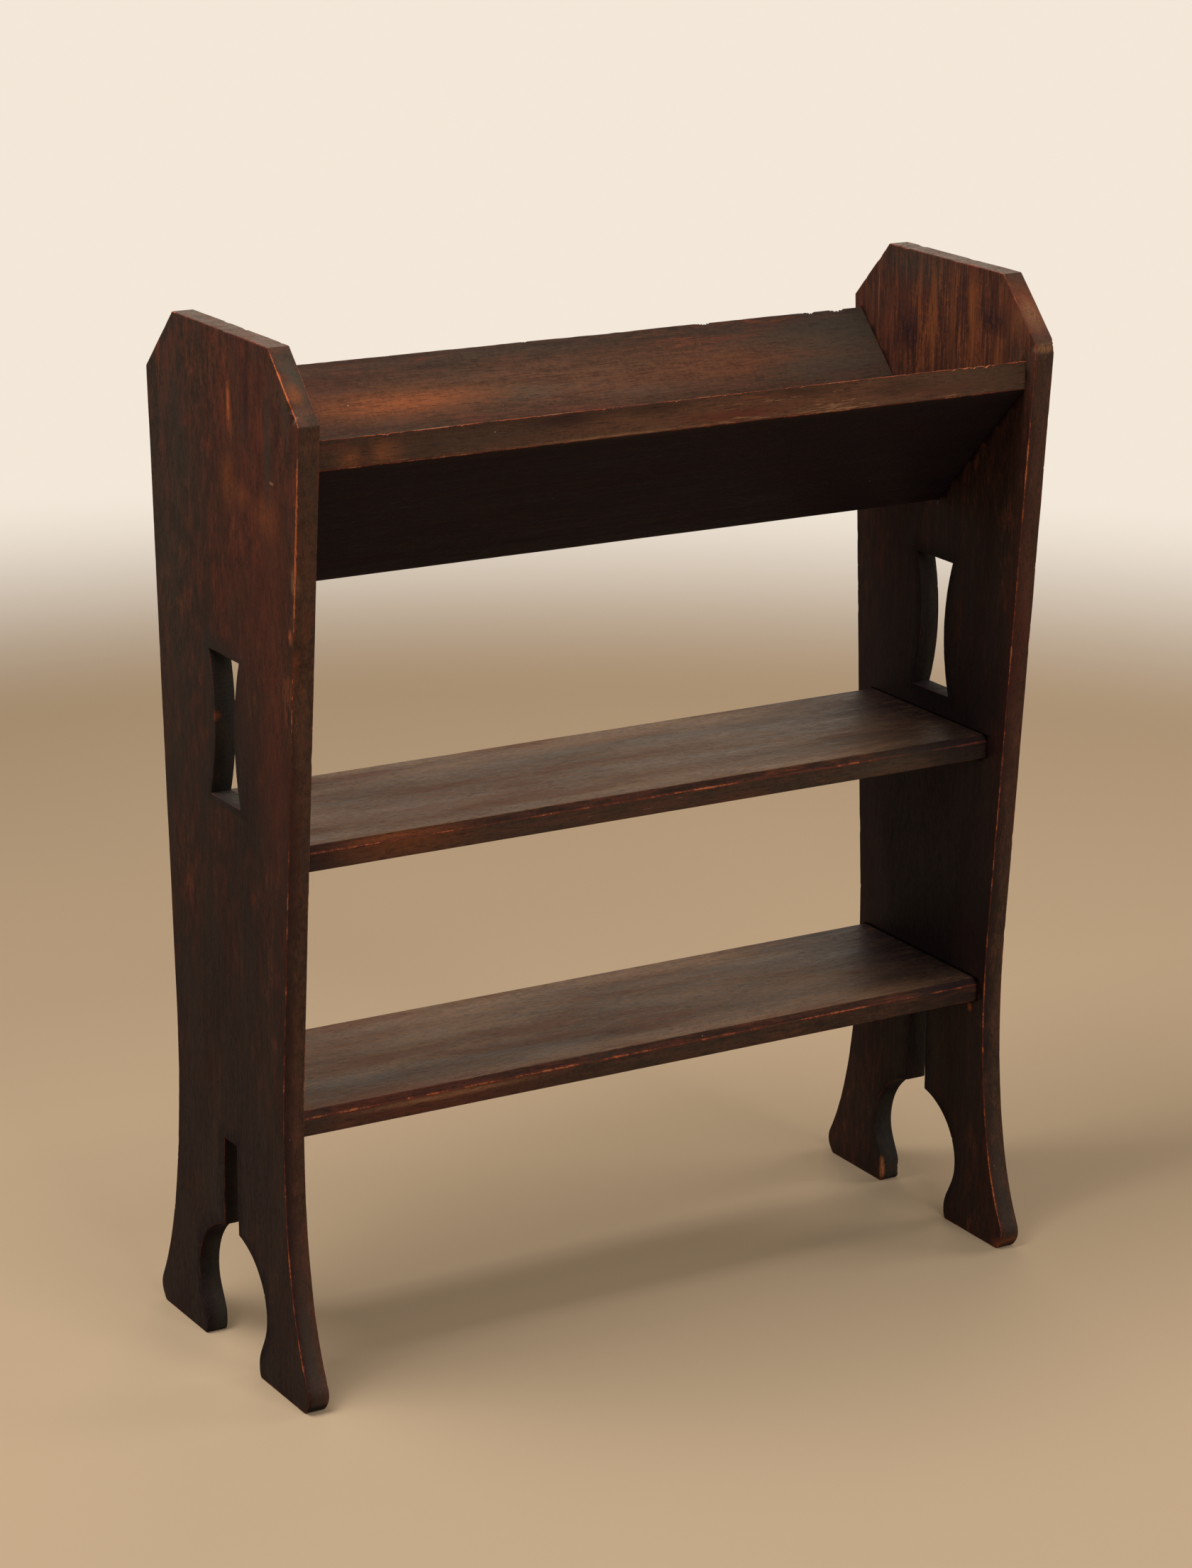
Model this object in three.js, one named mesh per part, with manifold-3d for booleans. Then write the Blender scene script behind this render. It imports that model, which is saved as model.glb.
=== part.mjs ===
// A book trough: two slab ends on cut-out feet, a V of two boards for books along the top and two
// flat shelves below. The boards stand in shallow stopped housings in the ends and are held by
// glued blind dowels, so no fastening shows from outside.
// Lengths are millimetres. The length runs along X, the front faces -Y and the floor is Z = 0.
import * as THREE from "three";
import { mergeVertices } from "three/addons/utils/BufferGeometryUtils.js";
import Module from "manifold-3d";

// Overall sizes
const overallLength = 660;
const endHeight = 809;
const endThickness = 17.5;

// End outline. A half is measured back or forward from the middle of the end.
const topFlatHalf = 78.5;
const shoulderHalf = 125.5;
const clipDrop = 49;
const ankleHalf = 92.5;
const ankleHeight = 262;
const ankleCurveHalf = 87;
const ankleCurveHeight = 175;
const instepHalf = 96;
const instepHeight = 76;
const heelHalf = 126;
const heelHeight = 22;
const heelCurveHalf = 133;
const heelCurveHeight = 9.4;
const soleHalf = 121;

// The arch between the feet
const toeRound = 4;
const toeHalf = 45.3;
const toeHeight = 11;
const toeCurveHeight = 24;
const archHalf = 58.8;
const archWidestHeight = 52;
const archCurveHeight = 34;
const archRise = 54;

// The slot above the arch stops short of the lower shelf.
const slotFootHalf = 12;
const slotTopHalf = 10.5;
const slotBelowShelf = 26.8;

// The waisted hand hole, placed in the bay between the upper shelf and the trough
const handHeight = 112.5;
const handHalf = 25;
const handWaistHalf = 16;
const handPlaceShare = 0.42;

// The V of the trough hangs from the top of the ends, with its upright edges inside theirs.
const troughPitch = Math.PI / 4;
const troughPointDrop = 197.6;
const troughThickness = 16;
const troughFrontSetIn = 13.5;
const troughBackSetIn = 9;

// Shelves, set in from the narrowest part of the ends
const lowerShelfTop = 223.8;
const upperShelfPlaceShare = 0.538;
const shelfThickness = 19;
const shelfFrontSetIn = 13.5;
const shelfBackSetIn = 9.5;
const shelfChamfer = 4.8;

// Joints. A dowel stops short of the far face of the wood that it enters.
const housingDepth = 4;
const housingFrontRoom = 2;
const fitGap = 0.3;
const dowelDiameter = 8;
const dowelTip = 1;
const dowelInBoard = 20;
const dowelCover = 5.2;
const shelfDowelShares = { front: 0.14, middle: 0.5, back: 0.86 };
const troughDowelShares = { low: 0.26, high: 0.76 };
const pointDowelShares = [-0.375, -0.125, 0.125, 0.375];

// Drawing fineness, and the overrun that takes a cut clear through a face
const curveSteps = 18;
const dowelSides = 12;
const overrun = 5;

const endOak = { color: 0x38211a, roughness: 0.55, metalness: 0 };
const boardOak = { color: 0x3b241b, roughness: 0.5, metalness: 0 };
const dowelWood = { color: 0xa98458, roughness: 0.75, metalness: 0 };

// Places that follow from the sizes
const innerFace = overallLength / 2 - endThickness;
const pocketFloor = innerFace + housingDepth;
const boardHalf = pocketFloor - fitGap;
const troughPointHeight = endHeight - troughPointDrop;
const upperShelfTop = THREE.MathUtils.lerp(lowerShelfTop, troughPointHeight, upperShelfPlaceShare);
const sides = { left: -1, right: 1 };

const wasm = await Module();
wasm.setup();

// Every outline lies in the profile frame: x runs back, y up and z along the length.
const at = (back, up) => new THREE.Vector2(back, up);
const middleOf = (a, b) => a.clone().lerp(b, 1 / 2);

// Where the line through a along u crosses the line through b along v
function meet(a, u, b, v) {
  const distance = b.clone().sub(a).cross(v) / u.cross(v);
  return a.clone().addScaledVector(u, distance);
}

// A convex counterclockwise outline, moved out all round by a clearance
function grown(outline, clearance) {
  const edges = outline.map((corner, i) => {
    const along = outline[(i + 1) % outline.length].clone().sub(corner).normalize();
    const outward = at(along.y, -along.x);
    return { start: corner.clone().addScaledVector(outward, clearance), along };
  });
  return edges.map((edge, i) => {
    const before = edges[(i + edges.length - 1) % edges.length];
    return meet(before.start, before.along, edge.start, edge.along);
  });
}

function prism(shape, from, to) {
  const geometry = new THREE.ExtrudeGeometry(shape, {
    depth: Math.abs(to - from),
    bevelEnabled: false,
    curveSegments: curveSteps,
  });
  return geometry.translate(0, 0, Math.min(from, to));
}

// A closed geometry as a solid that can be cut
function solidFrom(geometry) {
  const bare = geometry.clone();
  bare.deleteAttribute("normal");
  bare.deleteAttribute("uv");
  const merged = mergeVertices(bare);
  return new wasm.Manifold(
    new wasm.Mesh({
      numProp: 3,
      vertProperties: new Float32Array(merged.attributes.position.array),
      triVerts: new Uint32Array(merged.index.array),
    }),
  );
}

function geometryFrom(solid) {
  const mesh = solid.getMesh();
  const geometry = new THREE.BufferGeometry();
  geometry.setAttribute("position", new THREE.BufferAttribute(mesh.vertProperties, 3));
  geometry.setIndex(new THREE.BufferAttribute(mesh.triVerts, 1));
  geometry.computeVertexNormals();
  return geometry;
}

function cutAway(geometry, cutters) {
  const whole = solidFrom(geometry);
  return geometryFrom(cutters.reduce((rest, cutter) => rest.subtract(solidFrom(cutter)), whole));
}

// From the back of the top, down the back edge, round the foot and up into the slot
function halfEndPath() {
  const slotTopHeight = lowerShelfTop - shelfThickness - slotBelowShelf;
  const archMouth = Math.acos(slotFootHalf / archHalf);
  const half = new THREE.Path();
  half.moveTo(topFlatHalf, endHeight);
  half.lineTo(shoulderHalf, endHeight - clipDrop);
  half.lineTo(ankleHalf, ankleHeight);
  half.bezierCurveTo(
    ankleCurveHalf, ankleCurveHeight,
    instepHalf, instepHeight,
    heelHalf, heelHeight,
  );
  half.quadraticCurveTo(heelCurveHalf, heelCurveHeight, soleHalf, 0);
  half.lineTo(toeHalf + toeRound, 0);
  half.quadraticCurveTo(toeHalf, 0, toeHalf, toeHeight);
  half.bezierCurveTo(
    toeHalf, toeCurveHeight,
    archHalf, archCurveHeight,
    archHalf, archWidestHeight,
  );
  half.absellipse(0, archWidestHeight, archHalf, archRise, 0, archMouth, false, 0);
  half.lineTo(slotTopHalf, slotTopHeight);
  return half;
}

function handHole() {
  const middle = THREE.MathUtils.lerp(upperShelfTop, troughPointHeight, handPlaceShare);
  const top = middle + handHeight / 2;
  const bottom = middle - handHeight / 2;
  const waistPull = 2 * handWaistHalf - handHalf;
  const hole = new THREE.Path();
  hole.moveTo(-handHalf, top);
  hole.quadraticCurveTo(-waistPull, middle, -handHalf, bottom);
  hole.lineTo(handHalf, bottom);
  hole.quadraticCurveTo(waistPull, middle, handHalf, top);
  hole.closePath();
  return hole;
}

function endShape() {
  const back = halfEndPath().getPoints(curveSteps);
  const front = back.map((point) => at(-point.x, point.y)).reverse();
  const shape = new THREE.Shape([...back, ...front]);
  shape.holes.push(handHole());
  return shape;
}

// The front board runs down to the point of the V, and the back board stands on its inner face.
// Both end above in an upright edge.
function troughProfiles() {
  const point = at(0, troughPointHeight);
  const upright = at(0, 1);
  const forward = at(-Math.cos(troughPitch), Math.sin(troughPitch));
  const backward = at(Math.cos(troughPitch), Math.sin(troughPitch));
  const square = at(Math.sin(troughPitch), Math.cos(troughPitch));
  const frontInner = point.clone().addScaledVector(square, troughThickness);
  const seat = point.clone().addScaledVector(square, troughThickness + fitGap);
  const backInner = at(-frontInner.x, frontInner.y);
  const frontEdge = at(troughFrontSetIn - shoulderHalf, 0);
  const backEdge = at(shoulderHalf - troughBackSetIn, 0);
  return {
    trough_front_board: [
      point,
      frontInner,
      meet(frontInner, forward, frontEdge, upright),
      meet(point, forward, frontEdge, upright),
    ],
    trough_back_board: [
      meet(point, backward, seat, forward),
      meet(point, backward, backEdge, upright),
      meet(backInner, backward, backEdge, upright),
      meet(backInner, backward, seat, forward),
    ],
  };
}

// A board's profile, the profile of its pocket in the ends, and the line that its dowels share
function troughBoard(profile, lowEdge, highEdge) {
  const [low, high] = [lowEdge, highEdge].map(([i, j]) => middleOf(profile[i], profile[j]));
  return { profile, pocket: profile, dowelLine: [low, high], dowelShares: troughDowelShares };
}

// A shelf's top front arris is chamfered. Its pocket is square there and starts further forward.
function shelf(top) {
  const front = shelfFrontSetIn - ankleHalf;
  const back = ankleHalf - shelfBackSetIn;
  const bottom = top - shelfThickness;
  const middle = top - shelfThickness / 2;
  const pocketFront = front - housingFrontRoom;
  const backEdge = [at(back, bottom), at(back, top)];
  const chamfer = [at(front + shelfChamfer, top), at(front, top - shelfChamfer)];
  return {
    profile: [at(front, bottom), ...backEdge, ...chamfer],
    pocket: [at(pocketFront, bottom), ...backEdge, at(pocketFront, top)],
    dowelLine: [at(front, middle), at(back, middle)],
    dowelShares: shelfDowelShares,
  };
}

const trough = troughProfiles();
const boards = {
  trough_front_board: troughBoard(trough.trough_front_board, [0, 1], [2, 3]),
  trough_back_board: troughBoard(trough.trough_back_board, [0, 3], [1, 2]),
  upper_shelf: shelf(upperShelfTop),
  lower_shelf: shelf(lowerShelfTop),
};

// A dowel crosses a joint face. It reaches "ahead" of the face along its direction, and
// "behind" it the other way.
function endDowels(boardName, sideName) {
  const { dowelLine, dowelShares } = boards[boardName];
  const side = sides[sideName];
  return Object.entries(dowelShares).map(([place, share]) => {
    const spot = dowelLine[0].clone().lerp(dowelLine[1], share);
    return {
      name: `${boardName}_${sideName}_dowel_${place}`,
      face: new THREE.Vector3(spot.x, spot.y, side * pocketFloor),
      direction: new THREE.Vector3(0, 0, side),
      ahead: endThickness - housingDepth - fitGap - dowelCover,
      behind: dowelInBoard,
    };
  });
}

// The dowels along the point of the V run up the back board from the face of the front one.
function pointDowels() {
  const seat = middleOf(trough.trough_back_board[0], trough.trough_back_board[3]);
  const direction = new THREE.Vector3(Math.cos(troughPitch), Math.sin(troughPitch), 0);
  return pointDowelShares.map((share, i) => ({
    name: `trough_point_dowel_${i + 1}`,
    face: new THREE.Vector3(seat.x, seat.y, share * 2 * innerFace),
    direction,
    ahead: dowelInBoard,
    behind: troughThickness - dowelCover,
  }));
}

const dowelsOfEnd = Object.fromEntries(
  Object.keys(sides).map((sideName) => [
    sideName,
    Object.keys(boards).flatMap((boardName) => endDowels(boardName, sideName)),
  ]),
);
const dowelsOfPoint = pointDowels();

// A pin along Y with chamfered tips, or with none where the tip is zero
function lathedPin(radius, length, tip) {
  const wall = [at(radius, tip), at(radius, length - tip)];
  const eased = [at(radius - tip, 0), ...wall, at(radius - tip, length)];
  return new THREE.LatheGeometry(
    [at(0, 0), ...(tip > 0 ? eased : wall), at(0, length)],
    dowelSides,
  );
}

function placedPin(dowel, clearance, tip) {
  const length = dowel.behind + dowel.ahead + 2 * clearance;
  const turn = new THREE.Quaternion().setFromUnitVectors(
    new THREE.Vector3(0, 1, 0),
    dowel.direction,
  );
  return lathedPin(dowelDiameter / 2 + clearance, length, tip)
    .translate(0, -dowel.behind - clearance, 0)
    .applyQuaternion(turn)
    .translate(...dowel.face);
}

const dowelPin = (dowel) => placedPin(dowel, 0, dowelTip);
const dowelHole = (dowel) => placedPin(dowel, fitGap, 0);

function endPanel(sideName) {
  const side = sides[sideName];
  const slab = prism(endShape(), (side * overallLength) / 2, side * innerFace);
  const mouth = side * (innerFace - overrun);
  const pockets = Object.values(boards).map(({ pocket }) =>
    prism(new THREE.Shape(grown(pocket, fitGap)), mouth, side * pocketFloor),
  );
  return cutAway(slab, [...pockets, ...dowelsOfEnd[sideName].map(dowelHole)]);
}

function board(name) {
  const plain = prism(new THREE.Shape(boards[name].profile), -boardHalf, boardHalf);
  const atEnds = [...dowelsOfEnd.left, ...dowelsOfEnd.right].filter((dowel) =>
    dowel.name.startsWith(name),
  );
  const atPoint = name in trough ? dowelsOfPoint : [];
  return cutAway(plain, [...atEnds, ...atPoint].map(dowelHole));
}

function piece(name, geometry, finish) {
  const mesh = new THREE.Mesh(geometry, new THREE.MeshStandardMaterial(finish));
  mesh.name = name;
  return mesh;
}

// Turns the profile frame, so that its x lies along Y, its y along Z and its z along X
const bookTrough = new THREE.Group();
bookTrough.quaternion.setFromRotationMatrix(
  new THREE.Matrix4().makeBasis(
    new THREE.Vector3(0, 1, 0),
    new THREE.Vector3(0, 0, 1),
    new THREE.Vector3(1, 0, 0),
  ),
);

for (const sideName of Object.keys(sides)) {
  bookTrough.add(piece(`${sideName}_end`, endPanel(sideName), endOak));
}
for (const name of Object.keys(boards)) {
  bookTrough.add(piece(name, board(name), boardOak));
}
for (const dowel of [...dowelsOfEnd.left, ...dowelsOfEnd.right, ...dowelsOfPoint]) {
  bookTrough.add(piece(dowel.name, dowelPin(dowel), dowelWood));
}

export default bookTrough;
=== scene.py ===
# Dresses a book trough: worn boards of dark fumed oak with eased, rubbed and chipped arrises, on a
# pale floor in soft light. Lengths are metres. X runs along the trough, the front faces -Y.
import math

import bmesh
import bpy
import numpy as np
from mathutils import Matrix, Vector, geometry, kdtree, noise


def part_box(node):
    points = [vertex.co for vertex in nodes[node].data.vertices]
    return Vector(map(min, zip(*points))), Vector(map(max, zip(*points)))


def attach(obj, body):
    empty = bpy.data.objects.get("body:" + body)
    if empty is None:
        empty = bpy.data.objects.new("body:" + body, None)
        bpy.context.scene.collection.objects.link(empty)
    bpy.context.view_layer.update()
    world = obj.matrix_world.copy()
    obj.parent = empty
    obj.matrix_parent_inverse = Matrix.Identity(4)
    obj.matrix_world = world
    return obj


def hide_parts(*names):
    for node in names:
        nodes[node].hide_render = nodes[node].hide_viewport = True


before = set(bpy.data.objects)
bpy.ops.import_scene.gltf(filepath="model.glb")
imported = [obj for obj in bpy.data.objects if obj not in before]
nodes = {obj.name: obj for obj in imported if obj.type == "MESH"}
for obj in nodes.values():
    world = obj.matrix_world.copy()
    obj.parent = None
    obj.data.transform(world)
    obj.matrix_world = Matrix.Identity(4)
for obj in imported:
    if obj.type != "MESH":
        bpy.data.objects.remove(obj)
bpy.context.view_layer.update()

# How the boards' meshes are drawn, and how they wear
MM = 0.001
FLAT = 0.01 * MM
HOLD = 3.0 * MM
RIM_HOLD = 2.2 * MM
WEAR_LIMIT = HOLD - 0.3 * MM
UNEVEN = 0.35 * MM
DEEPEST_DENT = 0.8 * MM
RIM_LIMIT = RIM_HOLD - DEEPEST_DENT - 0.1 * MM
ARRIS_STEPS = 5
CORNER_TURN = math.radians(17)
SHARP_TURN = math.radians(38)
OUTLINE_SPACING = 1.5 * MM
OUTLINE_BEND = math.radians(11)
SHELF_SPACING = 1.6 * MM
TROUGH_SPACING = 1.1 * MM
FACE_SPACING = 9.0 * MM
CAP_MARGIN = 5.0 * MM
CORNER_EASE = 0.9 * MM
WAVE = 0.12 * MM
WAVE_REACH = 70.0 * MM
NARROW = 0.4 * MM
CUT_OUT_TOP = 0.2
SLOW_RUB = 45 * MM
QUICK_RUB = 7 * MM
UNEVEN_STEP = 28 * MM
KNOCK_RIPPLES = (2100, 1700, 1300)
CHIP_WIDTHS = (1.5, 9.0)
DENT_WIDTHS = (3, 9)

# What the meshes tell the material: wear of an arris, a sawn cut-out, a narrow edge
VALUES = ("arris", "sawn", "rim")

# Joinery
FIT_GAP = 0.3 * MM
HOUSING_FRONT_ROOM = 2.0 * MM
HOUSING_MOUTH = 4.0 * MM
DOWEL_HOLE_GROWTH = 1.08
DOWEL_FLUTES = 14
DOWEL_FLUTE_DEPTH = 0.3 * MM
DOWEL_TIP = 1.0 * MM
DOWEL_RINGS = 33
FLUTE_STEPS = 6


# Outlines read from the frame

def without_straights(loop):
    """Leaves out the points at which a loop doesn't turn."""
    return loop[np.abs(turns_of(loop)) > math.radians(0.05)]


def turns_of(loop):
    """The turn to the left at each point of a closed loop."""
    before = loop - np.roll(loop, 1, axis=0)
    after = np.roll(loop, -1, axis=0) - loop
    cross = before[:, 0] * after[:, 1] - before[:, 1] * after[:, 0]
    return np.arctan2(cross, (before * after).sum(axis=1))


def face_loops(name, side):
    """The loops in (y, z) round a node's flat face at its low (-1) or high (+1) end in x.
    Wood lies to the left of each loop, and the longest loop comes first."""
    mesh = nodes[name].data
    corners = [tuple(round(c, 6) for c in v.co) for v in mesh.vertices]
    level = side * max(side * c[0] for c in corners)
    steps = set()
    for polygon in mesh.polygons:
        ring = [corners[i] for i in polygon.vertices]
        if any(abs(c[0] - level) > FLAT for c in ring):
            continue
        for a, b in zip(ring, ring[1:] + ring[:1]):
            step = (a[1:], b[1:]) if side > 0 else (b[1:], a[1:])
            if step[::-1] in steps:
                steps.remove(step[::-1])
            else:
                steps.add(step)
    following = dict(sorted(steps))
    loops = []
    while following:
        start, at = following.popitem()
        loop = [start]
        while at != start:
            loop.append(at)
            at = following.pop(at)
        loops.append(without_straights(np.array(loop)))
    return sorted(loops, key=perimeter, reverse=True)


def run_along(points):
    """Each point's distance along a line of points."""
    return np.concatenate([[0], np.cumsum(np.linalg.norm(np.diff(points, axis=0), axis=1))])


def perimeter(loop):
    return run_along(np.concatenate([loop, loop[:1]]))[-1]


def smooth_stretch(points, distances):
    """Points and directions on a smooth curve through the points, at distances from its start."""
    chords = np.diff(points, axis=0)
    gaps = np.linalg.norm(chords, axis=1)
    marks = run_along(points)
    between = (chords[:-1] + chords[1:]) / (gaps[:-1] + gaps[1:])[:, None]
    slopes = np.concatenate([chords[:1] / gaps[0], between, chords[-1:] / gaps[-1]])
    i = np.clip(np.searchsorted(marks, distances, side="right") - 1, 0, len(gaps) - 1)
    h = gaps[i][:, None]
    t = ((distances - marks[i]) / gaps[i])[:, None]
    a, b, m, n = points[i], points[i + 1], slopes[i] * h, slopes[i + 1] * h
    place = (
        (2 * t**3 - 3 * t**2 + 1) * a
        + (t**3 - 2 * t**2 + t) * m
        + (3 * t**2 - 2 * t**3) * b
        + (t**3 - t**2) * n
    )
    heading = (
        (6 * t**2 - 6 * t) * (a - b)
        + (3 * t**2 - 4 * t + 1) * m
        + (3 * t**2 - 2 * t) * n
    )
    return place, heading / np.linalg.norm(heading, axis=1)[:, None]


def leftward(direction):
    return np.stack([-direction[..., 1], direction[..., 0]], axis=-1)


def unit(vector):
    return vector / np.linalg.norm(vector)


def directions_at(loop, i):
    """The directions in which a closed loop arrives at a corner and leaves it."""
    return unit(loop[i] - loop[i - 1]), unit(loop[(i + 1) % len(loop)] - loop[i])


def corner_inset(loop, i, depth):
    """The point that lies a depth inside both edges that meet at a corner."""
    arriving, leaving = directions_at(loop, i)
    return loop[i] + (leftward(arriving) + leftward(leaving)) * depth / (1 + arriving @ leaving)


def drawn_outline(loop):
    """Close samples along a loop, and each one's partner a step of RIM_HOLD into the wood.
    A corner that points out is eased a little, and its samples share one partner."""
    turns = turns_of(loop)
    corners = np.flatnonzero(np.abs(turns) > CORNER_TURN)
    edge, held = [], []
    for first, last in zip(corners, np.roll(corners, -1)):
        count = (last - first) % len(loop) or len(loop)
        stretch = loop[(first + np.arange(count + 1)) % len(loop)]
        bends = np.abs(turns[(first + np.arange(1, count)) % len(loop)])
        start, end = (clear_of_corner(turns[c]) for c in (first, last))
        place, heading = smooth_stretch(stretch, even_steps(stretch, bends, start, end))
        edge.append(place)
        held.append(place + leftward(heading) * RIM_HOLD)
        samples, partner = eased_corner(loop, last, turns[last])
        edge.append(samples)
        held.append(np.repeat(partner[None], len(samples), axis=0))
    return np.concatenate(edge), np.concatenate(held)


def even_steps(points, bends, start, end):
    """Distances along a stretch, from its start to its end less a margin at each, closer in bends."""
    gaps = np.linalg.norm(np.diff(points, axis=0), axis=1)
    marks = run_along(points)
    turned = np.concatenate([[0], bends]) + np.concatenate([bends, [0]])
    effort = np.concatenate([[0], np.cumsum(gaps / OUTLINE_SPACING + turned / 2 / OUTLINE_BEND)])
    low, high = np.interp([start, marks[-1] - end], marks, effort)
    steps = max(1, math.ceil(high - low))
    return np.interp(np.linspace(low, high, steps + 1), effort, marks)


def clear_of_corner(turn):
    """How far from a corner the even samples keep, so that their partners don't cross."""
    if turn < 0:
        return OUTLINE_SPACING
    return max(RIM_HOLD * math.tan(turn / 2), CORNER_EASE) + OUTLINE_SPACING / 4


def eased_corner(loop, i, turn):
    """Samples round a corner, and the partner that they share."""
    corner, partner = loop[i], corner_inset(loop, i, RIM_HOLD)
    if turn < 0:
        return corner[None], partner
    arriving, leaving = directions_at(loop, i)
    start = corner - arriving * CORNER_EASE
    end = corner + leaving * CORNER_EASE
    return np.array([start, (start + 2 * corner + end) / 4, end]), partner


# Wear along an arris, as the distance that the rounding reaches from it

def wander(distances, step, low, high, dice):
    """A smooth random value along a line, with a new value every step."""
    span = distances.max() - distances.min()
    knots = dice.uniform(low, high, int(span / step) + 4)
    t = (distances - distances.min()) / step
    i = np.floor(t).astype(int)
    f = t - i
    f = f * f * (3 - 2 * f)
    return knots[i] * (1 - f) + knots[i + 1] * f


def rubbed(distances, wear, limit, dice):
    """The rounding's reach along an arris, rubbed unevenly and chipped here and there."""
    reach = wear["ease"] * wander(distances, SLOW_RUB, 0.7, 1.35, dice)
    reach *= wander(distances, QUICK_RUB, 0.85, 1.15, dice)
    for _ in range(wear["chips"]):
        centre = dice.uniform(distances.min(), distances.max())
        width = dice.uniform(*CHIP_WIDTHS) * MM
        reach = chipped(distances, reach, centre, width, dice.uniform(0.3, 1) * wear["depth"], dice)
    for centre, width, depth in wear["nicks"]:
        reach = chipped(distances, reach, centre, width, depth, dice)
    return np.minimum(reach, limit)


def dented(distances, dents, deepest, dice):
    """How far an edge lies inside its outline: a slow unevenness, and dents here and there."""
    depth = UNEVEN * wander(distances, UNEVEN_STEP, 0.0, 1.0, dice)
    for _ in range(dents):
        centre = dice.uniform(distances.min(), distances.max())
        across = (distances - centre) / (dice.uniform(*DENT_WIDTHS) * MM)
        dent = dice.uniform(0.3, 1.0) * deepest * np.clip(1 - across**2, 0, 1) ** 1.5
        depth = np.maximum(depth, dent)
    return depth


def chipped(distances, reach, centre, width, depth, dice):
    lean = dice.uniform(0.3, 0.7)
    across = (distances - centre) / width
    side = np.where(across < 0, -across / lean, across / (1 - lean))
    bite = np.clip(1 - side, 0, 1) ** 0.45 * depth
    ragged = 1 + 0.25 * np.sin(distances * dice.uniform(1.5, 3) / MM)
    return np.maximum(reach, bite * ragged)


def arris_curve(reach, bulge):
    """Shares (back along the first face, on along the second) of points round an arris."""
    t = np.linspace(0, 1, ARRIS_STEPS + 1)[None]
    keep = (1 + bulge)[:, None] / 2
    first = (1 - t) ** 2 + 2 * t * (1 - t) * (1 - keep)
    second = t**2 + 2 * t * (1 - t) * (1 - keep)
    return first * reach[:, None], second * reach[:, None]


def bulge_of(reach, wear):
    """A rubbed arris is round, and a chipped one is flat or hollow."""
    return np.clip(1.1 - 0.9 * (reach - wear["ease"]) / (1.2 * MM), -0.1, 0.9)


# Meshes

def new_object(name, data):
    made = bpy.data.objects.new(name, data)
    bpy.context.scene.collection.objects.link(made)
    return made


def mesh_object(name, points, faces, values=None):
    mesh = bpy.data.meshes.new(name)
    mesh.from_pydata([tuple(p) for p in points], [], [tuple(f) for f in faces])
    mesh.update()
    for key, numbers in (values or {}).items():
        attribute = mesh.attributes.new(key, "FLOAT", "POINT")
        attribute.data.foreach_set("value", np.asarray(numbers, np.float32))
    return new_object(name, mesh)


def strips(rows, columns, closed):
    """Four-cornered faces over a grid of points that closes on itself by rows or by columns."""
    last_row = rows if closed == "rows" else rows - 1
    last_column = columns if closed == "columns" else columns - 1
    i, k = np.meshgrid(np.arange(last_row), np.arange(last_column), indexing="ij")
    j, m = (i + 1) % rows, (k + 1) % columns
    quads = [i * columns + k, i * columns + m, j * columns + m, j * columns + k]
    return np.stack(quads, axis=-1).reshape(-1, 4)


def waved(points, seed):
    """How far a planed face lies under true flat, which is never above it."""
    shift = Vector((seed, 3 * seed, 7 * seed))
    sizes = [noise.noise(Vector(p) / WAVE_REACH + shift) for p in points]
    return WAVE * (np.array(sizes) - 1) / 2


def end_panel(name, side, wear, seed):
    """A slab end: its rim is swept round each loop of the outline, and two caps close it."""
    dice = np.random.default_rng(seed)
    low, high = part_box(name)
    outer, inner = (high.x, low.x) if side > 0 else (low.x, high.x)
    points, faces, worn, sawn, edging = [], [], [], [], []
    rims = []
    for loop in face_loops(name, side):
        edge, held = drawn_outline(loop)
        start = sum(len(p) for p in points)
        reveal = is_reveal(edge, loop)
        ring, values, narrow = rim_points(edge, held, outer, inner, reveal, wear, dice)
        points.append(ring.reshape(-1, 3))
        worn.append(np.tile(values, len(edge)))
        sawn.append(np.repeat(reveal, ring.shape[1]))
        across = np.tile(narrow, len(edge))
        edging.append(across * (1 - sawn[-1]))
        faces += (strips(len(edge), ring.shape[1], "rows") + start).tolist()
        rims.append((held, start + np.arange(len(edge)) * ring.shape[1], ring.shape[1] - 1))
    for at, x in ((0, outer), (1, inner)):
        extra, cap = cap_faces(rims, at, sum(len(p) for p in points))
        dip = waved([(x, *p) for p in extra], seed + at) * np.sign(x - (outer + inner) / 2)
        points.append(np.column_stack([x + dip, extra]))
        for values in (worn, sawn, edging):
            values.append(np.zeros(len(extra)))
        faces += cap
    values = {key: np.concatenate(parts) for key, parts in zip(VALUES, (worn, sawn, edging))}
    return mesh_object(name + "_oak", np.concatenate(points), faces, values)


def is_reveal(edge, loop):
    """1 on the walls of the hand hole, and in the slot and the arch between the feet."""
    if loop[:, 1].min() > FLAT:
        return np.ones(len(edge))
    foot = np.abs(loop[loop[:, 1] < FLAT][:, 0])
    mouth = (foot.min() + foot.max()) / 2
    inside = (np.abs(edge[:, 0]) < mouth) & (edge[:, 1] > FLAT) & (edge[:, 1] < CUT_OUT_TOP)
    return inside.astype(float)


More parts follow.
